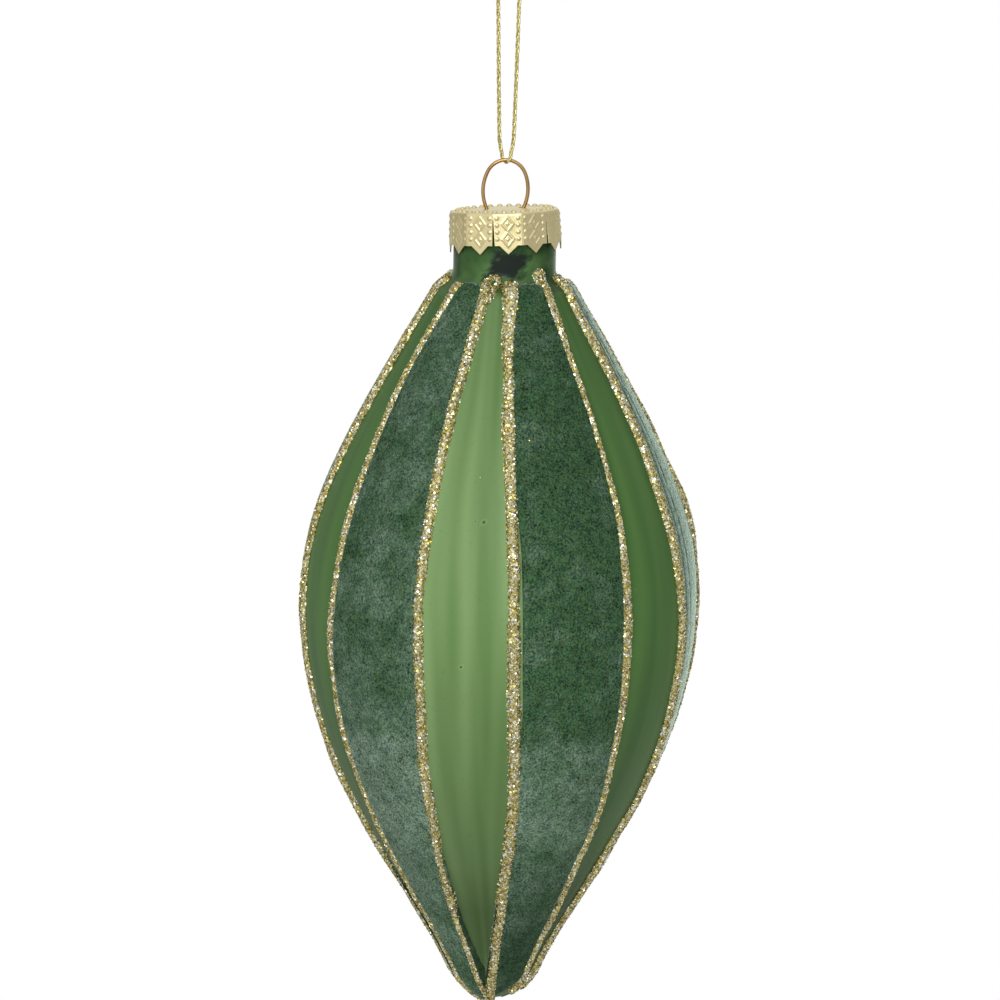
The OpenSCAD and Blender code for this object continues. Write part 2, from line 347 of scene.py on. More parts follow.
# Painted light: the lacquer is drawn palest round this angle, as if lit from the front: outer edge and core
PAINTED_LIGHT_TURN = math.radians(-8)
PAINTED_LIGHT_EDGE = (math.radians(30), math.radians(14))
# Pits in the lacquer: angle, height, radius
PITS = ((-5.2, -109.8 * MM, 0.25 * MM), (-7.9, -109.7 * MM, 0.13 * MM), (-10.8, -134.6 * MM, 0.2 * MM))
# Nearly black blotches on the neck's glass: angle, height, half angle, half height
NECK_BLOTCHES = (
    (4, -67.7 * MM, 21, 2.3 * MM),
    (118, -69.0 * MM, 15, 1.7 * MM),
    (-135, -67.8 * MM, 18, 1.9 * MM),
)
BLOT_LEAN = 0.3
# The edge between lacquer and bare glass, and how much it wobbles
BARE_EDGE = (SHOULDER_Z - 0.4 * MM, SHOULDER_Z + 1.6 * MM)
BARE_WOBBLE = 1.2 * MM


def blot_of(net, turn, z, at_turn, at_z, half_turn, half_z, squared=False):
    """Distance from a place on the glass, 1 at the rim of an oval or a square, which leans a little."""
    down = net.calc("DIVIDE", net.minus(z, at_z), half_z)
    aside = net.calc("DIVIDE", net.minus(turn, math.radians(at_turn)), half_turn)
    aside = net.minus(aside, net.times(down, BLOT_LEAN))
    if squared:
        return net.calc("MAXIMUM", net.calc("ABSOLUTE", aside), net.calc("ABSOLUTE", down))
    both = net.add("ShaderNodeCombineXYZ", {"X": aside, "Y": down})
    return net.add("ShaderNodeVectorMath", {0: both}, "Value", operation="LENGTH")


def lacquer_colour(net, place, turn, z):
    """Satin lacquer with soft streaks along the drop and a few pits, painted light on its front and painted
    shade at its head and foot.
    """
    drawn = net.add("ShaderNodeCombineXYZ", {"X": turn, "Y": net.times(z, 2.5)})
    streak = net.between(net.noise(drawn, 7.0, 1.0), 0.32, 0.68)
    thin = net.blend(streak, rgb(66, 105, 50), rgb(87, 126, 65))
    # thick: a paler copy of the lacquer, painted light on the front of the drop
    thick = net.blend(streak, rgb(97, 130, 74), rgb(129, 159, 104))
    aside = net.calc("ABSOLUTE", net.minus(turn, PAINTED_LIGHT_TURN))
    lacquer = net.blend(net.between(aside, *PAINTED_LIGHT_EDGE), thin, thick)
    dust = net.between(net.noise(place, 1700.0, 2.0, 0.7), 0.6, 0.8, 0.0, 0.25)
    lacquer = net.blend(dust, lacquer, rgb(58, 84, 44))
    # Painted shade, darker towards the tip
    foot = net.ramp(net.between(z, BELLY_Z + 4 * MM, TIP_Z), FOOT_SHADE)
    lacquer = net.blend(foot, lacquer, rgb(25, 47, 6))
    # Painted shade at the head of the drop
    head = net.between(z, BELLY_Z + 30 * MM, SHOULDER_Z - 2 * MM, 0.0, 0.3)
    lacquer = net.blend(head, lacquer, rgb(56, 88, 40))
    for at_turn, at_z, size in PITS:
        away = blot_of(net, turn, z, at_turn, at_z, size / BELLY_R, size)
        lacquer = net.blend(net.between(away, 1.1, 0.6, 0.0, 0.9), lacquer, rgb(20, 34, 18))
        halo = net.calc("ABSOLUTE", net.minus(away, 2.0))
        lacquer = net.blend(net.between(halo, 0.9, 0.2, 0.0, 0.12), lacquer, rgb(176, 198, 150))
    return lacquer


def neck_colour(net, place, turn, z):
    """Bare green glass in streaks of its own tone and of painted reflection, with painted shadow under the
    cap and a few nearly black blotches.
    """
    # Lighter and darker streaks: the glass's own uneven tone and painted reflection
    flow_and_reflection = net.between(net.noise(place, 150.0), 0.35, 0.65)
    glass = net.blend(flow_and_reflection, rgb(44, 76, 36), rgb(98, 134, 80))
    # Painted shadow under the cap's hem
    hem = net.between(z, HEM_Z - 1.6 * MM, HEM_Z + 1.2 * MM, 0.0, 0.75)
    glass = net.blend(hem, glass, rgb(22, 48, 20))
    slant = net.minus(turn, net.times(z, 90.0))
    slanted = net.add("ShaderNodeCombineXYZ", {"X": slant, "Y": net.times(z, 130.0)})
    ragged = net.between(net.noise(slanted, 7.0), 0.25, 0.75, -0.28, 0.28)
    for at_turn, at_z, half_turn, half_z in NECK_BLOTCHES:
        away = blot_of(net, turn, z, at_turn, at_z, math.radians(half_turn), half_z, True)
        glass = net.blend(net.between(net.plus(away, ragged), 1.15, 0.75), glass, rgb(34, 42, 38))
    return glass


def glass_paint(name, roughness, specular, bump_scale, bump):
    """Lacquer that gives way to bare glass at the neck; roughness is given for the one and the other."""
    paint, net, shader = new_material(name)
    place = net.place()
    turn, _, z = net.around(place)
    edge = net.plus(z, net.times(net.noise(place, 160.0), BARE_WOBBLE))
    bare = net.between(edge, *BARE_EDGE)
    lacquer, neck = (colour(net, place, turn, z) for colour in (lacquer_colour, neck_colour))
    net.feed(shader, {
        "Base Color": net.blend(bare, lacquer, neck),
        "Roughness": net.between(bare, 0, 1, *roughness),
        "Specular IOR Level": specular,
        "Normal": net.bump(net.noise(place, bump_scale, 3.0), *bump)})
    return paint


# How much paler the pile is drawn, partly brushed pile and partly painted sheen, from below the belly down to
# the tip, and more on the left: x, shares
LOW_SHEEN = ((0.0, 0.0), (0.13, 0.02), (0.19, 0.23), (0.34, 0.24), (0.5, 0.17), (0.7, 0.06), (1.0, 0.0))
LEFT_SHEEN = (10 * MM, -12 * MM, -0.04, 0.1)
# Painted sheen: the angles between which one panel's pile is drawn pale all over
SHEEN_FROM = (math.radians(48), math.radians(58))
SHEEN_TO = (math.radians(112), math.radians(102))
# Painted shade near the tip, by height, and its side, by x, with shares
TIP_SHADE = (-166 * MM, -188 * MM, 0.0, 0.45)
TIP_SIDE = (-3 * MM, 2 * MM, 0.15, 1.0)


def velvet_paint():
    """Dark green pile: a fine grain of fibre tips, paler brushed patches, painted sheen and painted shade."""
    paint, net, shader = new_material("velvet")
    place = net.place()
    turn, x, z = net.around(place)
    tuft = net.between(net.noise(place, 640.0, 2.0, 0.6), 0.3, 0.7, -0.17, 0.17)
    grain = net.plus(net.between(net.noise(place, 2900.0, 3.0, 0.8), 0.35, 0.65), tuft)
    warm = net.between(net.noise(place, 2600.0), 0.54, 0.7, 0.0, 0.5)
    cool = net.between(net.noise(place, 2100.0), 0.48, 0.3, 0.0, 0.7)

    def speckled(dark, pale, warm_tip, cool_tip):
        return net.blend(cool, net.blend(warm, net.blend(grain, dark, pale), warm_tip), cool_tip)

    low = net.ramp(net.between(z, BELLY_Z - 10 * MM, TIP_Z), LOW_SHEEN)
    # Painted sheen: the pile is drawn paler low down and on the left
    lie = net.plus(low, net.between(x, *LEFT_SHEEN))
    cloud = net.plus(net.noise(place, 130.0, 5.0, 0.72), lie)
    pile = speckled(rgb(2, 19, 9), rgb(80, 117, 79), rgb(94, 104, 64), rgb(36, 72, 66))
    pale = speckled(rgb(14, 44, 32), rgb(148, 174, 150), rgb(140, 138, 104), rgb(58, 102, 104))
    colour = net.blend(net.between(cloud, 0.48, 0.9), pile, pale)
    # Painted sheen over the panel at the right side
    painted_sheen = net.times(net.between(turn, *SHEEN_FROM), net.between(turn, *SHEEN_TO))
    painted_sheen = net.times(painted_sheen, net.between(cloud, 0.3, 0.7, 0.5, 0.85))
    colour = net.blend(painted_sheen, colour, net.blend(grain, rgb(56, 88, 76), rgb(168, 192, 174)))
    # Painted shade near the tip, on the right
    lowest = net.times(net.between(z, *TIP_SHADE), net.between(x, *TIP_SIDE))
    colour = net.blend(lowest, colour, rgb(24, 36, 30))
    # Darker where the velvet is thin past a line near the tip, partly painted shade
    thin = net.add("ShaderNodeAttribute", {}, "Fac", attribute_name="thin")
    net.feed(shader, {
        "Base Color": net.blend(thin, colour, rgb(26, 42, 24)),
        "Roughness": 0.95,
        "Specular IOR Level": 0.05,
        "Sheen Weight": 0.9,
        "Sheen Roughness": 0.3,
        "Sheen Tint": rgb(206, 226, 212),
        "Normal": net.bump(net.noise(place, 4200.0, 1.0, 0.7), 0.5, 0.15 * MM)})
    return paint


def glitter_paint():
    """Flakes of gold, pale gold, silver and brown, each of one colour."""
    paint, net, shader = new_material("glitter")
    chance = net.add("ShaderNodeNewGeometry", {}, "Random Per Island")
    stops = (
        (0.0, rgb(132, 108, 50)),
        (0.07, rgb(168, 150, 72)),
        (0.26, rgb(196, 182, 100)),
        (0.48, rgb(210, 202, 138)),
        (0.66, rgb(212, 216, 204)),
        (0.87, rgb(246, 246, 234)),
    )
    colour = net.ramp(chance, stops, "CONSTANT")
    net.feed(shader, {"Base Color": colour, "Metallic": 0.85, "Roughness": 0.24})
    return paint


def glue_paint():
    """The set glue between the flakes, clouded with gold dust."""
    paint, net, shader = new_material("glitter_glue")
    dust = net.noise(net.place(), 3400.0, 2.0, 0.7)
    stops = (
        (0.3, rgb(96, 82, 40)),
        (0.45, rgb(146, 134, 74)),
        (0.58, rgb(172, 170, 136)),
        (0.68, rgb(206, 202, 162)),
    )
    net.feed(shader, {
        "Base Color": net.ramp(dust, stops),
        "Metallic": 0.4,
        "Roughness": 0.4,
        "Normal": net.bump(dust, 0.6, 0.12 * MM)})
    return paint


def metal_paint(name, cloud_noise, colours, roughness, bump_noise, bump):
    """Bare metal, clouded between two colours and two roughnesses, with a fine bump."""
    paint, net, shader = new_material(name)
    place = net.place()
    cloud = net.noise(place, *cloud_noise)
    net.feed(shader, {
        "Base Color": net.blend(cloud, *colours),
        "Metallic": 1.0,
        "Roughness": net.between(cloud, 0.3, 0.7, *roughness),
        "Normal": net.bump(net.noise(place, bump_noise), *bump)})
    return paint


def thread_paint():
    paint, net, shader = new_material("thread")
    place = net.place()
    glint = net.between(net.noise(place, 2600.0, 2.0, 0.7), 0.36, 0.64)
    net.feed(shader, {
        "Base Color": net.blend(glint, rgb(156, 144, 74), rgb(236, 226, 162)),
        "Metallic": 0.8,
        "Roughness": 0.34,
        "Normal": net.bump(net.noise(place, 4200.0), 0.5, 0.06 * MM)})
    return paint


# Mesh helpers
def mesh_object(name, points, faces, paint, smooth=True):
    """A mesh object from points and faces, where each face is a row of an array of indices."""
    mesh = bpy.data.meshes.new(name)
    groups = [np.asarray(f, np.int32) for f in faces if len(f)]
    corners = np.concatenate([g.ravel() for g in groups])
    sizes = np.concatenate([np.full(len(g), g.shape[1], np.int32) for g in groups])
    starts = np.concatenate([[0], np.cumsum(sizes)[:-1]]).astype(np.int32)
    mesh.vertices.add(len(points))
    mesh.vertices.foreach_set("co", np.asarray(points, np.float32).ravel())
    mesh.loops.add(len(corners))
    mesh.loops.foreach_set("vertex_index", corners)
    mesh.polygons.add(len(sizes))
    mesh.polygons.foreach_set("loop_start", starts)
    mesh.update(calc_edges=True)
    mesh.validate()
    mesh.polygons.foreach_set("use_smooth", np.full(len(mesh.polygons), smooth))
    mesh.materials.append(paint)
    return linked(name, mesh)


def grid_faces(rows, columns, closed=False):
    """Quads of a grid of points that is stored row by row; closed joins the last column to the first."""
    spans = columns if closed else columns - 1
    row, column = np.meshgrid(np.arange(rows - 1), np.arange(spans), indexing="ij")
    row, column = row.ravel(), column.ravel()
    after = (column + 1) % columns
    return np.stack([row * columns + column, row * columns + after,
                     (row + 1) * columns + after, (row + 1) * columns + column], 1)


def slab(upper, lower):
    """Points and faces of a slab between two grids of points."""
    rows, columns = upper.shape[:2]
    under = rows * columns
    rim = np.concatenate([
        np.arange(columns), np.arange(1, rows) * columns + columns - 1,
        (rows - 1) * columns + np.arange(columns - 2, -1, -1), np.arange(rows - 2, 0, -1) * columns])
    after = np.roll(rim, -1)
    quads = grid_faces(rows, columns)
    sides = np.stack([rim, after, after + under, rim + under], 1)
    return np.concatenate([upper, lower]).reshape(-1, 3), [quads[:, ::-1], quads + under, sides]


def unit(v):
    return v / np.maximum(np.linalg.norm(v, axis=-1, keepdims=True), 1e-12)


def run_of(path):
    """The distance along a path at each of its points."""
    return np.concatenate([[0], np.cumsum(np.linalg.norm(np.diff(path, axis=0), axis=1))])


def smooth_noise(rng, count, reach):
    """A row of random values of about unit spread that change over reach steps."""
    raw = rng.normal(size=count + 6 * reach)
    kernel = np.exp(-0.5 * (np.arange(-3 * reach, 3 * reach + 1) / reach) ** 2)
    row = np.convolve(raw, kernel / math.sqrt((kernel ** 2).sum()), "same")
    return row[3 * reach:3 * reach + count]


def uneven(rng, count, spread, reach):
    """A row of factors round 1."""
    return 1 + spread * smooth_noise(rng, count, reach)


def smooth_route(points, step):
    """A curve through given points, at even steps."""
    points = np.asarray(points, float)
    padded = np.concatenate([points[:1], points, points[-1:]])
    t = np.linspace(0, 1, 24, endpoint=False)[:, None]
    runs = []
    for a, b, c, d in zip(padded, padded[1:], padded[2:], padded[3:]):
        runs.append(b + t / 2 * (c - a + t * (2 * a - 5 * b + 4 * c - d + t * (3 * b - a - 3 * c + d))))
    curve = np.concatenate(runs + [points[-1:]])
    length = run_of(curve)
    even = np.linspace(0, length[-1], max(2, int(length[-1] / step)))
    return np.stack([np.interp(even, length, axis) for axis in curve.T], 1)


def sides_of(path):
    """Two directions across a path at each of its points, carried along it without twist."""
    aslant = (0.31, 0.9, 0.2)
    way = unit(np.gradient(path, axis=0))
    across = np.zeros_like(path)
    across[0] = unit(np.cross(way[0], aslant))
    for i in range(1, len(path)):
        across[i] = unit(across[i - 1] - way[i] * (across[i - 1] @ way[i]))
    return across, np.cross(way, across)


def spokes(across, up, sides):
    """Directions evenly round each place, from two that lie across it."""
    around = np.linspace(0, 2 * math.pi, sides, endpoint=False)[None, :, None]
    return np.cos(around) * across[:, None] + np.sin(around) * up[:, None]


def tube(path, radius, sides):
    """Points and faces of a closed tube along path."""
    points = path[:, None] + radius[:, None, None] * spokes(*sides_of(path), sides)
    last = (len(path) - 1) * sides
    caps = np.stack([np.arange(sides), last + np.arange(sides)[::-1]])
    return points.reshape(-1, 3), [grid_faces(len(path), sides, True)[:, ::-1], caps]


def joined(parts):
    """One list of points and faces from several."""
    points, faces, count = [], [], 0
    for part_points, part_faces in parts:
        points.append(part_points)
        faces += [np.asarray(f) + count for f in part_faces]
        count += len(part_points)
    return np.concatenate(points), faces


def leaned(middle, *turns, lift=0.0):
    """The matrix that turns a piece about its middle, by angles each with its axis, and then lifts it."""
    matrix = Matrix.Translation(middle + Vector((0, 0, lift)))
    for angle, axis in turns:
        matrix = matrix @ Matrix.Rotation(angle, 4, axis)
    return matrix @ Matrix.Translation(-middle)


def placed(thing, body, slot, *nodes):
    """The piece stands for its solids, which it hides, and rides on their body; the slot is not used."""
    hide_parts(*nodes)
    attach(thing, body)
    return thing


# Outline of the glass
def bezier(points, steps):
    t = np.linspace(0, 1, steps + 1)[1:, None]
    a, b, c, d = np.array(points)
    return a * (1 - t) ** 3 + 3 * b * t * (1 - t) ** 2 + 3 * c * t * t * (1 - t) + d * t ** 3


NECK_LEAD = 1.6 * MM


def glass_outline():
    """Radius and height from a little way up the neck down to the tip."""
    shoulder = np.array([SHOULDER_R, SHOULDER_Z])
    belly = np.array([BELLY_R, BELLY_Z])
    nose = np.array([NOSE_R, NOSE_Z])
    upper_way = np.array([math.sin(UPPER_LEAN), -math.cos(UPPER_LEAN)])
    lower_way = np.array([-math.sin(LOWER_LEAN), -math.cos(LOWER_LEAN)])
    down = np.array([0, -1.0])
    neck = np.array([NECK_R, NECK_Z])
    return np.concatenate([
        [neck - NECK_LEAD * down, neck],
        bezier([neck, neck + SHOULDER_PULL[0] * SHOULDER_H * down,
                shoulder - SHOULDER_PULL[1] * SHOULDER_H * upper_way, shoulder], 60),
        bezier([shoulder, shoulder + UPPER_PULL[0] * UPPER_H * upper_way,
                belly - UPPER_PULL[1] * UPPER_H * down, belly], 400),
        bezier([belly, belly + LOWER_PULL[0] * LOWER_H * down,
                nose - LOWER_PULL[1] * LOWER_H * lower_way, nose], 400),
        bezier([nose, nose + NOSE_PULL[0] * NOSE_H * lower_way,
                np.array([NOSE_PULL[1] * NOSE_R, TIP_Z]), np.array([0, TIP_Z])], 120),
    ])


OUTLINE = glass_outline()
ALONG = run_of(OUTLINE) - NECK_LEAD
WAY = unit(np.gradient(OUTLINE, axis=0))
WAY[-1] = (-1, 0)
OUTWARD = np.stack([-WAY[:, 1], WAY[:, 0]], 1)
# The least radius by which a step aside is turned into an angle
LEAST_TURN_R = 2 * MM


def outline_at(along):
    """Radius, height and outward direction at a distance below the neck."""
    return [np.interp(along, ALONG, column) for column in (*OUTLINE.T, *OUTWARD.T)]


def along_at(height):
    return np.interp(-height, -OUTLINE[:, 1], ALONG)


def on_glass(along, turn, lift=0.0):
    radius, height, out_r, out_z = outline_at(along)
    radius = radius + lift * out_r
    return np.stack([radius * np.sin(turn), -radius * np.cos(turn), height + lift * out_z], -1)


def from_table(along, stops, scale=1.0):
    """Values of a table by distance below the neck."""
    return np.interp(along, *(np.array(stops) * (MM, scale)).T)


def line_turn(k, along):
    """A glitter line's angle, on the same curve through three angles as its solid, or a little astray."""
    first, middle, last = (math.radians(a) for a in LINES[k][0])
    radius, height = outline_at(along)[:2]
    t = np.clip((SHOULDER_Z - height) / (SHOULDER_Z - NOSE_Z), 0, 1)
    curve = first * (1 - t) * (1 - 2 * t) + 4 * middle * t * (1 - t) + last * t * (2 * t - 1)
    if k not in WANDER:
        return curve
    route = smooth_route(np.array(WANDER[k]) * MM, 0.4 * MM)
    return curve + np.interp(along, *route.T) / np.maximum(radius, LEAST_TURN_R)


def end_of(radius):
    """The distance below the neck at which the nose has narrowed to a radius."""
    return ALONG[np.nonzero(OUTLINE[:, 0] > radius)[0][-1]]


# Glass drop
GLASS_ROWS = 420
GLASS_COLUMNS = 288
INNER_ROWS = 140
NECK_ROWS = 14
RIM_ROOM = 0.6 * MM
# Ripples of the blown glass: how many round it, height in mm and shift, and how far they fade in and out
RIPPLES = ((11, 0.030, 0.4), (17, 0.026, 2.1), (26, 0.018, 5.0), (41, 0.010, 1.3))
RIPPLE_FADE = 12 * MM
BARE_FROM = SHOULDER_Z + 0.4 * MM


def make_glass():
    along = np.linspace(0, ALONG[-1], GLASS_ROWS)
    turns = np.linspace(0, 2 * math.pi, GLASS_COLUMNS, endpoint=False)
    rows, columns = np.meshgrid(along, turns, indexing="ij")
    height = outline_at(rows)[1]
    below, above = (np.clip(d / RIPPLE_FADE, 0, 1) for d in (SHOULDER_Z - height, height - NOSE_Z))
    ripple = sum(size * MM * np.sin(count * columns + shift + 0.8 * np.sin(40 * height + count))
                 for count, size, shift in RIPPLES)
    outer = on_glass(rows, columns, ripple * (below * above))
    neck_heights = np.linspace(RIM_Z - RIM_ROOM, NECK_Z, NECK_ROWS, endpoint=False)
    neck_height, neck_turn = np.meshgrid(neck_heights, turns, indexing="ij")
    neck = np.stack([NECK_R * np.sin(neck_turn), -NECK_R * np.cos(neck_turn), neck_height], -1)
    inner_along = np.linspace(ALONG[-1], 0, INNER_ROWS)
    inner = on_glass(*np.meshgrid(inner_along, turns, indexing="ij"), -WALL)
    bore = neck[::-1].copy()
    bore[..., :2] *= (NECK_R - WALL) / NECK_R
    shell = np.concatenate([neck, outer[:-1]])
    lining = np.concatenate([inner[1:], bore])
    count = GLASS_COLUMNS
    tips = [(0, 0, TIP_Z)], [(0, 0, TIP_Z + WALL)]
    points = np.concatenate([shell.reshape(-1, 3), tips[0], lining.reshape(-1, 3), tips[1]])
    tip = len(shell) * count
    first_inner = tip + 1
    inner_tip = len(points) - 1
    column = np.arange(count)
    after = (column + 1) % count
    last_row = (len(shell) - 1) * count
    last_inner = first_inner + (len(lining) - 1) * count
    faces = [
        grid_faces(len(shell), count, True)[:, ::-1],
        np.stack([last_row + column, np.full(count, tip), last_row + after], 1)[:, ::-1],
        first_inner + grid_faces(len(lining), count, True)[:, ::-1],
        np.stack([first_inner + column, first_inner + after, np.full(count, inner_tip)], 1)[:, ::-1],
        np.stack([last_inner + column, last_inner + after, after, column], 1)[:, ::-1],
    ]
    satin = glass_paint("satin_lacquer", (0.52, 0.3), 0.24, 420.0, (0.05, 0.4 * MM))
    glass = mesh_object("glass_drop", points, faces, satin)
    glass.data.materials.append(glass_paint("bare_glass", (0.4, 0.22), 0.08, 240.0, (0.08, 0.5 * MM)))
    for face in glass.data.polygons:
        face.material_index = int(face.center.z > BARE_FROM)
    placed(glass, "ornament", "lacquered_glass", "glass_body")


# Velvet
VELVET_STEP = 0.33 * MM
VELVET_ROUND = 0.8 * MM
VELVET_TOP_Z = SHOULDER_Z + 1.5 * MM
VELVET_END_R = 1.2 * MM
# Its upper edge sways, and its corners are cut
TOP_IN = 0.5 * MM
TOP_SWAY = 0.4 * MM
CORNER_H = 1.4 * MM
CORNER_W = 2.2 * MM
# Pile: what its mean height lacks of the solid's, crushed patches, single fibres, foot and backing
PILE_LACK = 0.06 * MM
CRUSH = 0.022 * MM
CRUSH_ACROSS = 14
CRUSH_ALONG = 41
FUZZ = 0.03 * MM
PILE_FOOT = 0.03 * MM
BACKING = 0.02 * MM
# How deep the edge of the pile is sunk in the glass
SUNK = 0.1 * MM
# How far the velvet's edge is tucked under a line, as a share of half the line's width
TUCK = 0.45
# Velvet that shows on the far side of a line near the tip: distances below the neck and widths, in mm
FRINGE = ((0, 0), (108, 0), (114, 0.25), (126, 0.4), (133, 0.7), (139, 1.3), (150, 1.5))
# Lines past which less of it shows or none does, and how much of the way to the next line it takes at most
FRINGE_SHARE = {3: 0.3}
PLAIN_SIDES = (4, 5)
FRINGE_MOST = 0.56
# Its colour darkens there, as thin velvet and as painted shade: from where and over how much below the neck,
# over how much aside, and how far
THIN_FROM = 108 * MM
THIN_OVER = 12 * MM
THIN_ASIDE = 0.8 * MM
THIN_MOST = 0.75
# Where the velvet stays back from a line and lacquer shows: distances below the neck and widths, in mm
BARE = {3: ((41, 0), (52, 0.8), (63, 1.05), (80, 1.0), (92, 0))}
# The tables below are by panel, counted from 0
# Creases along a panel: share of the width, half width and depth
CREASES = {2: ((0.13, 0.016, 0.17 * MM), (0.3, 0.02, 0.11 * MM))}
# How much sooner a panel ends at its right edge than at its left
FOOT_CUT = {1: 6.8 * MM}
# Where a panel's pile lies flatter: distances below the neck, in mm, and shares of its height
FLAT_PILE = {2: ((52, 1.0), (66, 0.6), (78, 0.42), (108, 0.42), (124, 1.0))}
# How much a line narrows from belly to tip, and its greatest half width as a share of the glass's radius
LINE_NARROWS = 0.22
LINE_MOST = 0.22


def line_half(k, along):
    """Half the width of a glitter line, which narrows towards the tip."""
    radius, height = outline_at(along)[:2]
    low = np.clip((BELLY_Z - height) / (BELLY_Z - TIP_Z), 0, 1)
    half = LINES[k][1] * MM / 2 * (1 - LINE_NARROWS * low)
    if k in SLIM:
        half = half * from_table(along, SLIM[k])
    return np.minimum(half, LINE_MOST * radius)


def fringe(k, other, along):
    """The angle that velvet reaches past line k towards the next panel's line, or stays back from it."""
    radius = outline_at(along)[0]
    tucked = -TUCK * line_half(k, along)
    if k in PLAIN_SIDES:
        return tucked / radius
    wave = 1 + 0.12 * np.sin(along / MM * 2.3 + 3 * k) * np.sin(along / MM * 0.9 + k)
    past = FRINGE_SHARE.get(k, 1.0) * from_table(along, FRINGE, MM) * wave
    past = np.where(past > 0, past + line_half(k, along), tucked)
    if k in BARE:
        past = past - from_table(along, BARE[k], MM)
    apart = np.abs((line_turn(other, along) - line_turn(k, along) + math.pi) % (2 * math.pi) - math.pi)
    return np.minimum(past / radius, FRINGE_MOST * apart)


def make_velvet(panel, paint, rng):
    """A panel of velvet between two lines, its edges rounded down and tucked under them."""
    before = 2 * panel + 1
    after = (before + 1) % len(LINES)
    first = along_at(VELVET_TOP_Z)
    last = end_of(VELVET_END_R)
    rows = int((last - first) / VELVET_STEP)
    along = np.linspace(first, last, rows)
    radius = outline_at(along)[0]
    left_line = line_turn(before, along)
    right_line = line_turn(after, along) + (2 * math.pi if after < before else 0.0)
    left = left_line - fringe(before, before - 1, along)
    right = right_line + fringe(after, (after + 1) % len(LINES), along)
    columns = int((right - left).max() * BELLY_R / VELVET_STEP)
    share = np.linspace(0, 1, columns)[None]
    turn = left[:, None] + (right - left)[:, None] * share
    width = ((right - left) * radius)[:, None]
    edge = np.minimum(share, 1 - share) * width
    corner = CORNER_H * np.clip(1 - edge / CORNER_W, 0, 1) ** 2
    top = (along - first)[:, None] + TOP_SWAY * smooth_noise(rng, columns, 6)[None] + TOP_IN - corner
    foot = (last - along)[:, None] - FOOT_CUT.get(panel, 0.0) * share
    near = np.clip(np.minimum(np.minimum(edge, top), foot) / VELVET_ROUND, 0, 1)
    rise = np.sqrt(1 - (1 - near) ** 2)
    crush = np.stack([smooth_noise(rng, columns, CRUSH_ACROSS) for _ in range(rows)])
    window = np.hanning(CRUSH_ALONG)
    window = window / math.sqrt((window ** 2).sum())
    crush = np.apply_along_axis(lambda column: np.convolve(column, window, "same"), 0, crush)
    fuzz = rng.normal(size=(rows, columns))
    lift = rise * (VELVET_T - PILE_LACK + CRUSH * crush + FUZZ * fuzz) + PILE_FOOT
    for at, spread, deep in CREASES.get(panel, ()):
        lift = lift - rise * deep * np.exp(-((share - at) / spread) ** 2)
    if panel in FLAT_PILE:
        lift = lift * from_table(along, FLAT_PILE[panel])[:, None]
    sunk = SUNK * (near == 0)
    grown = np.broadcast_to(along[:, None], turn.shape)
    pile = on_glass(grown, turn, lift - sunk)
    back = on_glass(grown, turn, BACKING - sunk)
    thing = mesh_object(f"velvet_{panel + 1}", *slab(pile, back), paint)
    past = np.maximum(left_line[:, None] - turn, turn - right_line[:, None]) * radius[:, None]
    low = np.clip((along - THIN_FROM) / THIN_OVER, 0, 1)[:, None]
    # Darkening of the thin velvet past a line, partly painted shade
    thin = THIN_MOST * np.clip(0.5 + past / THIN_ASIDE, 0, 1) * low
    attribute = thing.data.attributes.new("thin", "FLOAT", "POINT")
    attribute.data.foreach_set("value", np.tile(thin.ravel(), 2).astype(np.float32))
    placed(thing, "ornament", "velvet", f"velvet_panel_{panel + 1}")


# Glitter lines
BEAD_STEP = 0.35 * MM
BEAD_COLUMNS = 15
# Height of the bead's foot, roughness, share of the solid's height, and least half width
BEAD_FOOT = 0.03 * MM
BEAD_ROUGH = 0.03 * MM
BEAD_SHARE = 0.94
BEAD_LEAST = 0.05 * MM
# How a line is rounded at its start and its end, and how far down its start is wide
START_ROUND = 1.0 * MM
END_ROUND = 0.9 * MM
SWELL_REACH = 6 * MM
HOOK_HALF = 0.42 * MM
HOOK_SHARE = 0.8
# Flakes: how many, radius, lean, height over the glue, and depth of the stem
FLAKES_PER_MM = 52
FLAKE_SIDES = 6
FLAKE_SIZES = (0.12 * MM, 0.25 * MM)
FLAKE_TILT = 0.36
FLAKE_OVER = 0.05 * MM
FLAKE_STEM = 0.12 * MM
# Flakes that fell beside a line: how many, share of the size, lean, and clear of the line's ends
STRAYS = 5
STRAY_SIZE = 0.5
STRAY_TILT = 0.15
STRAY_CLEAR = 6 * MM


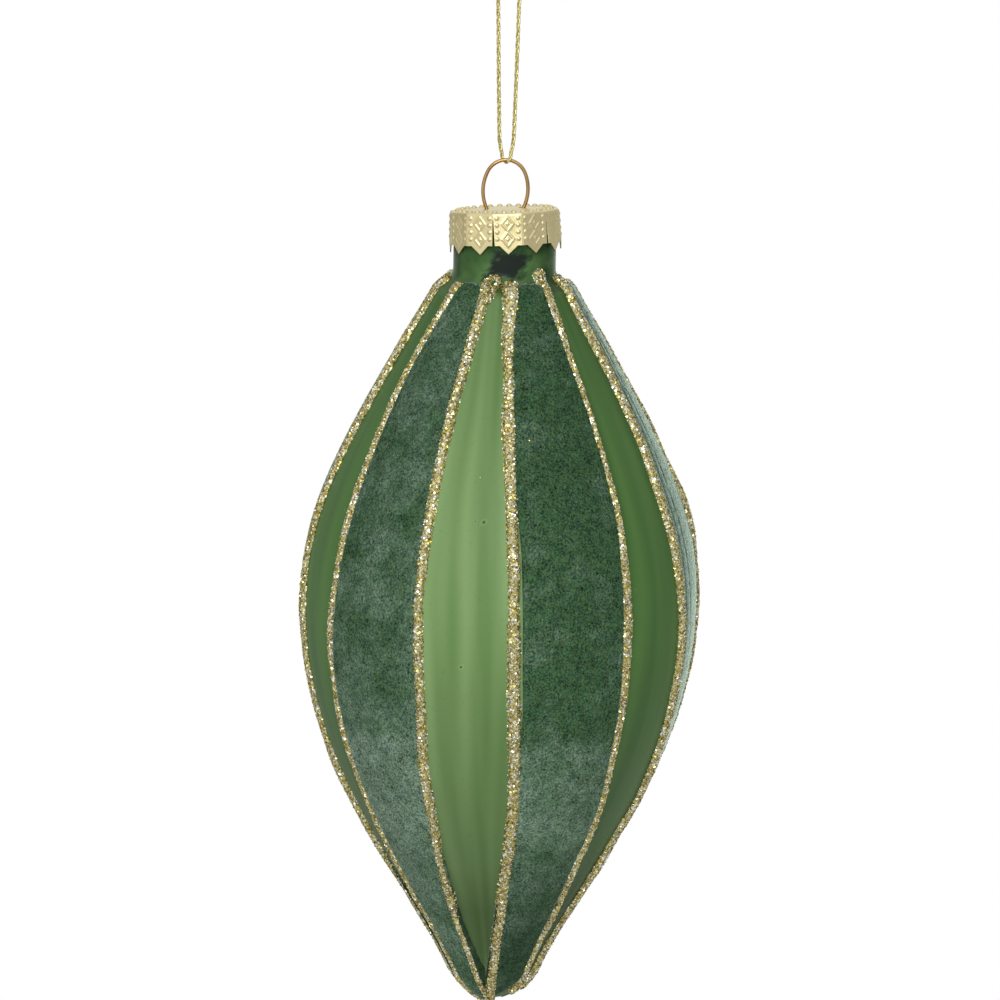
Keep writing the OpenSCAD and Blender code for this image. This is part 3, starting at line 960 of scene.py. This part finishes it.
def strand(along, turn, half, tall, length, rng):
    """A lumpy bead of glue along a row of places on the glass, and its coat of flakes, as two meshes."""
    count = len(along)
    index = np.arange(count)
    radius = outline_at(along)[0]
    foot = on_glass(along, turn)
    out = unit(on_glass(along, turn, MM) - foot)
    across = unit(np.cross(out, unit(np.gradient(foot, axis=0))))

    def along_row(row, values):
        return np.stack([np.interp(row, index, column) for column in values.T], -1)

    def bead(row, q, high=1.0):
        """Points at places along the row; q runs from -1 to 1 across the bead."""
        aside = q * np.interp(row, index, half)
        rounded = (1 - np.clip(np.abs(q), 0, 1) ** 2.4) ** 0.6
        sag = aside ** 2 / 2 / np.interp(row, index, radius)
        lift = BEAD_FOOT + high * np.interp(row, index, tall) * rounded - sag
        beside = aside[..., None] * along_row(row, across)
        return along_row(row, foot) + beside + lift[..., None] * along_row(row, out)

    q = np.sin(np.linspace(-math.pi / 2, math.pi / 2, BEAD_COLUMNS))
    rows, columns = np.meshgrid(index.astype(float), q, indexing="ij")
    top = bead(rows, columns)
    top += BEAD_ROUGH * rng.normal(size=top.shape)
    glue = slab(top, bead(rows, columns, 0.0))
    flakes = int(length / MM * FLAKES_PER_MM)
    spot = rng.uniform(0, count - 1, flakes)
    side = np.sin(rng.uniform(-math.pi / 2, math.pi / 2, flakes)) * rng.uniform(0.92, 1.08, flakes)
    ahead = bead(spot + 0.15, side) - bead(spot - 0.15, side)
    beside = bead(spot, side + 0.02) - bead(spot, side - 0.02)
    normal = unit(np.cross(ahead, beside))
    normal *= np.where((normal * along_row(spot, out)).sum(1) < 0, -1, 1)[:, None]
    return glue, flake_mesh(bead(spot, side), normal, rng, FLAKE_TILT)


def flake_mesh(middle, normal, rng, tilt, scale=1.0):
    """Six-sided flakes, each on a short stem that is sunk in what carries it."""
    count = len(middle)
    leaning = unit(normal + tilt * rng.normal(size=(count, 3)))
    across = unit(np.cross(leaning, rng.normal(size=(count, 3))))
    size = scale * rng.uniform(*FLAKE_SIZES, count)[:, None, None]
    rim = spokes(across, np.cross(leaning, across), FLAKE_SIDES)
    corners = middle[:, None] + normal[:, None] * FLAKE_OVER + size * rim
    stem = middle - normal * FLAKE_STEM
    points = np.concatenate([corners, stem[:, None]], 1).reshape(-1, 3)
    base = np.arange(count)[:, None] * (FLAKE_SIDES + 1)
    corner = np.arange(FLAKE_SIDES)[None]
    top = base + corner
    foot = np.broadcast_to(base + FLAKE_SIDES, top.shape)
    sides = np.stack([top, foot, base + (corner + 1) % FLAKE_SIDES], -1).reshape(-1, 3)
    return points, [top, sides]


def stray_spots(k, first, last, rng):
    """A few flakes that fell beside a line, on velvet to one side and lacquer to the other."""
    at = rng.uniform(first + STRAY_CLEAR, last - STRAY_CLEAR, STRAYS)
    aside = rng.choice((-1, 1), STRAYS) * rng.gamma(2.0, 1.1 * MM, STRAYS)
    aside = np.sign(aside) * (line_half(k, at) + np.abs(aside))
    on_velvet = (aside > 0) == (k % 2 == 1)
    turn = line_turn(k, at) + aside / outline_at(at)[0]
    lift = np.where(on_velvet, VELVET_T, 0.0)
    middle = on_glass(at, turn, lift)
    return middle, unit(on_glass(at, turn, lift + MM) - middle)


def make_line(k, flakes, glue, rng):
    """A glitter line with a rounded start at the shoulder, which on one line is turned back on itself."""
    start, end_radius, swelling = LINES[k][2:]
    first = start * MM
    last = end_of(end_radius * MM)
    rows = int((last - first) / BEAD_STEP)
    along = np.linspace(first, last, rows)
    from_top = along - first
    ends = np.clip(np.minimum(from_top / START_ROUND, (last - along) / END_ROUND), 0, 1)
    taper = np.sqrt(1 - (1 - ends) ** 2)
    swell = 1 + swelling * np.exp(-(from_top / SWELL_REACH) ** 2)
    lump = from_table(along, LUMPS[k]) if k in LUMPS else 1.0
    half = line_half(k, along) * swell * uneven(rng, rows, 0.09, 9) * taper + BEAD_LEAST
    sway = 0.1 * MM * smooth_noise(rng, rows, 16) + 0.07 * MM * smooth_noise(rng, rows, 7)
    turn = line_turn(k, along) + sway / np.maximum(outline_at(along)[0], LEAST_TURN_R)
    tall = LINE_H * BEAD_SHARE * lump * uneven(rng, rows, 0.1, 8) * taper
    strands = [strand(along, turn, half, tall, last - first, rng)]
    if k == HOOK_LINE:
        hook, aside = smooth_route(np.array(HOOK) * MM, BEAD_STEP).T
        turn = line_turn(k, hook) + aside / outline_at(hook)[0]
        half = HOOK_HALF * uneven(rng, len(hook), 0.12, 5)
        tall = LINE_H * HOOK_SHARE * uneven(rng, len(hook), 0.1, 5)
        strands.append(strand(hook, turn, half, tall, len(hook) * BEAD_STEP, rng))
    beads, coats = zip(*strands)
    loose = flake_mesh(*stray_spots(k, first, last, rng), rng, STRAY_TILT, STRAY_SIZE)
    points, faces = joined([*beads, *coats, loose])
    thing = mesh_object(f"glitter_{k + 1}", points, faces, flakes, smooth=False)
    thing.data.materials.append(glue)
    glue_faces = sum(len(f) for bead in beads for f in bead[1])
    is_glue = np.arange(len(thing.data.polygons)) < glue_faces
    thing.data.polygons.foreach_set("material_index", is_glue.astype(np.int32))
    placed(thing, "ornament", "glitter", f"glitter_line_{k + 1}")


# Crown cap
CAP_ACROSS = 64
CAP_DOWN = 84
ROOT_ROWS = 6
CAP_ROUND = 0.4 * MM
CAP_THICK = 0.22 * MM
CAP_LEAN = math.radians(-2.7)
CAP_NOD = math.radians(-0.8)
CAP_LIFT = 0.05 * MM
SHARP = math.radians(25)
# Pressed pattern of a facet: dots, and diamonds with rings of a distance, spread and share of the height
DOT_R = 0.4 * MM
DOT_H = 0.17 * MM
DOT_ASIDE = 1.86 * MM
DOT_DOWN = (0.9 * MM, 2.1 * MM, 3.3 * MM, 4.5 * MM)
DIAMOND_DOWN = (1.9 * MM, 4.55 * MM)
DIAMOND = (1.12 * MM, 1.36 * MM)
RIDGE_H = 0.12 * MM
RIDGE_RINGS = ((0.88, 0.23, 1.0), (0.0, 0.32, 1.1))
# The facet's edges: how near them the pattern fades out, and how far they are drawn in
EDGE_FADE = 0.22 * MM
EDGE_IN = 0.05 * MM
# How far a slit is open at its root, as a share of its width
SLIT_START = 0.2
# Beads round the top plate, its dome and its holes
BEADS = 31
BEAD_RING_R = 8.2 * MM
BEAD_H = 0.42 * MM
BEAD_R = 0.5 * MM
DOME_H = 0.2 * MM
DOME_R = 6.6 * MM
HOLE_R = 0.5 * MM
# Rows of the plate from its middle out, coarse and then fine, as shares of its radius
PLATE_SHARES = np.concatenate([np.linspace(0.02, 0.8, 16, endpoint=False), np.linspace(0.8, 1, 26)])
PLATE_MIDDLE_R = 0.3 * MM
RIM_STEPS = 8
SEAM = 0.004 * MM
FACET_HALF = math.pi / FACETS
PLATE_R = (NECK_R + CAP_CLEAR + SHEET) / math.cos(FACET_HALF)
CAP_PAINT = ("cap_metal", (420.0, 3.0, 0.6), (rgb(206, 192, 140), rgb(230, 218, 172)), (0.3, 0.44), 1400.0,
             (0.12, 0.1 * MM))


def emboss(aside, down):
    """Height of the pressed pattern on a facet: two linked diamonds between two columns of dots."""
    high = np.zeros_like(aside)
    for middle in DIAMOND_DOWN:
        ring = np.abs(aside) / DIAMOND[0] + np.abs(down - middle) / DIAMOND[1]
        for at, spread, share in RIDGE_RINGS:
            high = np.maximum(high, share * RIDGE_H * np.exp(-((ring - at) / spread) ** 2))
    for x in (-DOT_ASIDE, DOT_ASIDE):
        for middle in DOT_DOWN:
            near = np.hypot(aside - x, down - middle) / DOT_R
            high = np.maximum(high, DOT_H * np.clip(1 - near ** 2, 0, 1) ** 0.8)
    return high


def facet_points(index):
    """The skirt of one facet from the rounded rim down to its tooth, as a grid; every second edge is slit."""
    share = np.linspace(-1, 1, CAP_ACROSS + 1)
    flat = TOOTH_GAP / 2
    half_hem = (PLATE_R + FLARE) * math.sin(FACET_HALF)
    from_edge = half_hem * (1 - np.abs(share))
    tooth = np.clip((from_edge - flat) / (half_hem - flat), 0, 1)
    hem = CAP_H - TOOTH_H + TOOTH_H * tooth
    root = np.linspace(CAP_ROUND, SLIT_ROOT, ROOT_ROWS)
    rows = np.linspace(0, 1, CAP_DOWN + 1)[1:, None]
    root = np.repeat(root[:, None], len(share), 1)
    down = np.concatenate([root, SLIT_ROOT + (hem - SLIT_ROOT)[None] * rows])
    corner = PLATE_R + FLARE * down / CAP_H
    half = corner * math.sin(FACET_HALF)
    aside = half * share[None]
    cut = np.clip((down - SLIT_ROOT) / (CAP_H - TOOTH_H - SLIT_ROOT), 0, 1)
    opened = SLIT_START + (1 - SLIT_START) * cut
    opened[:ROOT_ROWS] = 0
    slit_side = -1 if index % 2 == 0 else 1
    aside = np.where(aside * slit_side > 0, aside * (1 - opened * SLIT_W / 2 / half), aside)
    fade = np.clip((half - np.abs(aside)) / EDGE_FADE, 0, 1)
    out = corner * math.cos(FACET_HALF) + emboss(aside, down) * fade - EDGE_IN * (1 - fade) ** 2
    middle = CAP_TURN + (2 * index + 1) * FACET_HALF
    x = out * math.sin(middle) + aside * math.cos(middle)
    y = -out * math.cos(middle) + aside * math.sin(middle)
    return np.stack([x, y, PLATE_Z - down], -1)


def plate_points(index):
    """The wedge of the top plate above one facet, from the middle out to the rounded rim."""
    share = np.linspace(-1, 1, CAP_ACROSS + 1)
    turn = CAP_TURN + index * 2 * FACET_HALF + FACET_HALF * (1 + share)
    flat_edge = PLATE_R * math.cos(FACET_HALF) / np.cos(FACET_HALF * share) - CAP_ROUND
    reach = PLATE_SHARES[:, None] * flat_edge[None]
    bead = 2 * math.pi / BEADS
    off = (np.broadcast_to(turn, reach.shape) + bead / 2) % bead - bead / 2
    near = np.hypot(off * BEAD_RING_R, reach - BEAD_RING_R) / BEAD_R
    rise = BEAD_H * np.sqrt(np.clip(1 - near ** 2, 0, 1)) + DOME_H * np.clip(1 - (reach / DOME_R) ** 2, 0, 1)
    rim = np.linspace(0, math.pi / 2, RIM_STEPS)[1:-1, None]
    rim_reach = flat_edge[None] + CAP_ROUND * np.sin(rim)
    rim_down = CAP_ROUND * (1 - np.cos(rim)) * np.ones_like(rim_reach)
    reach = np.concatenate([reach, rim_reach])
    down = np.concatenate([-rise, rim_down])
    return np.stack([reach * np.sin(turn), -reach * np.cos(turn), PLATE_Z - down], -1)


def cut_hole(work, spot):
    """Opens a round hole in the top plate for the wire."""
    gone = [f for f in work.faces if f.normal.z > 0.3 and (f.calc_center_median().xy - spot).length < HOLE_R]
    edge = {v for f in gone for v in f.verts}
    bmesh.ops.delete(work, geom=gone, context="FACES")
    for v in edge:
        if v.is_valid and v.is_boundary:
            away = v.co.xy - spot
            v.co.xy = spot + away * (HOLE_R / max(away.length, 1e-6))


def make_cap():
    work = bmesh.new()
    for index in range(FACETS):
        grid = np.concatenate([plate_points(index), facet_points(index)])
        corners = [work.verts.new(p) for p in grid.reshape(-1, 3)]
        for face in grid_faces(*grid.shape[:2])[:, ::-1]:
            work.faces.new([corners[i] for i in face])
    bmesh.ops.remove_doubles(work, verts=work.verts, dist=SEAM)
    inner = [v for v in work.verts if v.co.xy.length < PLATE_MIDDLE_R]
    bmesh.ops.pointmerge(work, verts=inner, merge_co=(0, 0, PLATE_Z + DOME_H))
    for side in (-1, 1):
        cut_hole(work, Vector((side * wire_foot()[0] - math.tan(RING_LEAN) * RING_H / 2, 0)))
    loose = [v for v in work.verts if not v.link_faces]
    bmesh.ops.delete(work, geom=loose, context="VERTS")
    bmesh.ops.recalc_face_normals(work, faces=work.faces)
    mesh = bpy.data.meshes.new("crown_cap_pressed")
    work.to_mesh(mesh)
    work.free()
    middle = Vector((0, 0, PLATE_Z - CAP_H / 2))
    mesh.transform(leaned(middle, (CAP_LEAN, "Y"), (CAP_NOD, "X"), lift=CAP_LIFT))
    cap = linked("crown_cap_pressed", mesh)
    mesh.materials.append(metal_paint(*CAP_PAINT))
    mesh.polygons.foreach_set("use_smooth", np.full(len(mesh.polygons), True))
    mesh.set_sharp_from_angle(angle=SHARP)
    thick = cap.modifiers.new("sheet", "SOLIDIFY")
    thick.thickness = CAP_THICK
    thick.offset = -1
    placed(cap, "hanger", "cap_metal", "crown_cap")


# Wire ring
RING_LEAN = math.radians(2.6)
WIRE_SIDES = 20
WIRE_END = 0.7
WIRE_PAINT = ("wire", (300.0, 4.0, 0.65), (rgb(138, 104, 58), rgb(198, 166, 112)), (0.2, 0.38), 2600.0,
              (0.1, 0.05 * MM))


def wire_shape():
    """Angles and centre of the ring's side, as its solid has them."""
    side_turn = math.asin((SIDE_R - RING_W / 2) / (SIDE_R - CROWN_R))
    side = np.array([RING_W / 2 - SIDE_R, CROWN_Z - CROWN_R - (SIDE_R - CROWN_R) * math.cos(side_turn)])
    foot_turn = math.asin((side[1] - PLATE_Z) / SIDE_R)
    return side_turn, side, foot_turn


def wire_foot():
    """Where the wire goes through the plate."""
    _, side, foot_turn = wire_shape()
    return side + SIDE_R * np.array([math.cos(foot_turn), -math.sin(foot_turn)])


def wire_half():
    """The right half of the wire, from the crown down to the tip of its leg."""
    side_turn, side, foot_turn = wire_shape()
    crown = np.array([0, CROWN_Z - CROWN_R])
    bend = wire_foot() + BEND_R * np.array([math.cos(foot_turn), -math.sin(foot_turn)])
    leg = bend - BEND_R * np.array([math.cos(LEG_SPLAY), math.sin(LEG_SPLAY)])
    leg_l = (NECK_R - WALL - LEG_GAP - WIRE_R - leg[0]) / math.sin(LEG_SPLAY)

    def arc(centre, radius, start, end, steps):
        a = np.linspace(start, end, steps)[:, None]
        return centre + radius * np.concatenate([np.cos(a), np.sin(a)], 1)

    quarter = math.pi / 2
    return np.concatenate([
        arc(crown, CROWN_R, quarter, quarter - side_turn, 30),
        arc(side, SIDE_R, quarter - side_turn, -foot_turn, 40)[1:],
        arc(bend, BEND_R, math.pi - foot_turn, math.pi + LEG_SPLAY, 16)[1:],
        leg + np.linspace(0, leg_l, 14)[1:, None] * np.array([math.sin(LEG_SPLAY), -math.cos(LEG_SPLAY)]),
    ])


def make_wire(rng):
    half = wire_half()
    route = np.concatenate([(half * (-1, 1))[:0:-1], half])
    path = np.stack([route[:, 0], np.zeros(len(route)), route[:, 1]], 1)
    drawn = WIRE_R * uneven(rng, len(path), 0.012, 3)
    drawn[[0, -1]] *= WIRE_END
    points, faces = tube(path, drawn, WIRE_SIDES)
    thing = mesh_object("ring_wire", points, faces, metal_paint(*WIRE_PAINT))
    thing.data.transform(leaned(Vector((0, 0, CROWN_Z - RING_H / 2)), (RING_LEAN, "Y")))
    placed(thing, "hanger", "wire", "hanger_wire")


# Thread loop
# Half of its route, as its solid has it: x, y and height over the crown of the ring, in mm
STRAND = (
    (0, 0, -0.78), (0.15, -0.46, -0.64), (0.36, -0.77, -0.18), (0.66, -0.79, 0.4), (0.8, -0.72, 1),
    (0.93, -0.66, 1.8), (1.2, -0.6, 3.4), (1.3, -0.6, 5.5), (1.42, -0.58, 10), (1.55, -0.55, 15),
    (1.7, -0.5, 22), (1.85, -0.4, 29), (1.9, -0.3, 36), (1.6, -0.2, 42), (1.1, -0.1, 46),
    (0.6, 0, 48.5), (0.45, 0, 50),
)
PATH_STEP = 0.12 * MM
# Plies: how many, radius, distance from the middle, length of a turn, and size and length of their ridges
PLIES = 3
PLY_SIDES = 9
PLY_R = 0.18 * MM
PLY_OFF = 0.19 * MM
PLY_PITCH = 5.1 * MM
RIDGE = 0.06
RIDGE_PITCH = 0.45 * MM
# The bend round the wire, where the thread lies closer and its plies are pressed together and thinner
BEND_REACH = 1.3 * MM
BEND_CLOSER = 0.32
PLIES_CLOSER = 0.65
PLIES_THINNER = 0.2
KNOT_SIZE = 0.31 * MM
KNOT_UP = 1.15 * MM


def plies(path, tight=0.0):
    """Metallic plies laid round each other along path, pressed together by the share tight."""
    across, up = sides_of(path)
    length = run_of(path)
    parts = []
    for phase in np.linspace(0, 2 * math.pi, PLIES, endpoint=False):
        a = 2 * math.pi * length / PLY_PITCH + phase
        off = PLY_OFF * (1 - PLIES_CLOSER * tight) * np.ones(len(path))
        lay = path + off[:, None] * (np.cos(a)[:, None] * across + np.sin(a)[:, None] * up)
        ridged = 1 + RIDGE * np.sin(2 * math.pi * length / RIDGE_PITCH + phase)
        parts.append(tube(lay, PLY_R * (1 - PLIES_THINNER * tight) * ridged, PLY_SIDES))
    return joined(parts)


def make_thread():
    half = np.array(STRAND) * MM + (0, 0, CROWN_Z)
    mirrored = half[:0:-1] * (-1, -1, 1)
    path = smooth_route(np.concatenate([mirrored, half]), PATH_STEP)
    from_bend = (np.arange(len(path)) - (len(path) - 1) / 2) * PATH_STEP
    tight = np.exp(-(from_bend / BEND_REACH) ** 2)
    path[:, 1:] = (path[:, 1:] - (0, CROWN_Z)) * (1 - BEND_CLOSER * tight)[:, None] + (0, CROWN_Z)
    paint = thread_paint()
    thread = mesh_object("thread_loop", *plies(path, tight), paint)
    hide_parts("hanging_cord")
    knot = make_knot(paint)
    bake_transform(thread)


def make_knot(paint):
    """An overhand knot in the doubled thread, with its two short ends."""
    t = np.linspace(-0.3, 2 * math.pi + 0.3, 90)
    loops = KNOT_SIZE * np.stack([
        np.sin(t) + 2 * np.sin(2 * t), np.cos(t) - 2 * np.cos(2 * t), -1.5 * np.sin(3 * t)], 1)
    loops[:, 2] += KNOT_UP
    routes = [loops[::3]]
    for side in (-1, 1):
        routes.append(np.array([
            (0.2 * side, 0, 1.2), (0.5 * side, 0.05, 2.2), (1.1 * side, 0.2 * side, 4.2),
            (1.7 * side, 0.1, 6.2), (2.3 * side, -0.2 * side, 8.2)]) * MM)
        routes.append(np.array([(0.42 * side, 0, 0.05), (0.3 * side, 0.1, 0.5), (0.2 * side, 0.1, 1.2)]) * MM)
    points, faces = joined([plies(smooth_route(route, PATH_STEP)) for route in routes])
    knot = mesh_object("thread_knot", points, faces, paint)
    return placed(knot, "knot", "thread", "cord_knot")


def main():
    make_camera()
    make_thread()
    make_world()
    make_floor()
    for light in LIGHTS:
        make_light(*light)
    rng = np.random.default_rng(SEED)
    make_glass()
    velvet = velvet_paint()
    for panel in range(PANELS):
        make_velvet(panel, velvet, rng)
    glitter = glitter_paint()
    glue = glue_paint()
    for k in range(len(LINES)):
        make_line(k, glitter, glue, rng)
    make_cap()
    make_wire(rng)


main()
scene.view_settings.view_transform = "Standard"
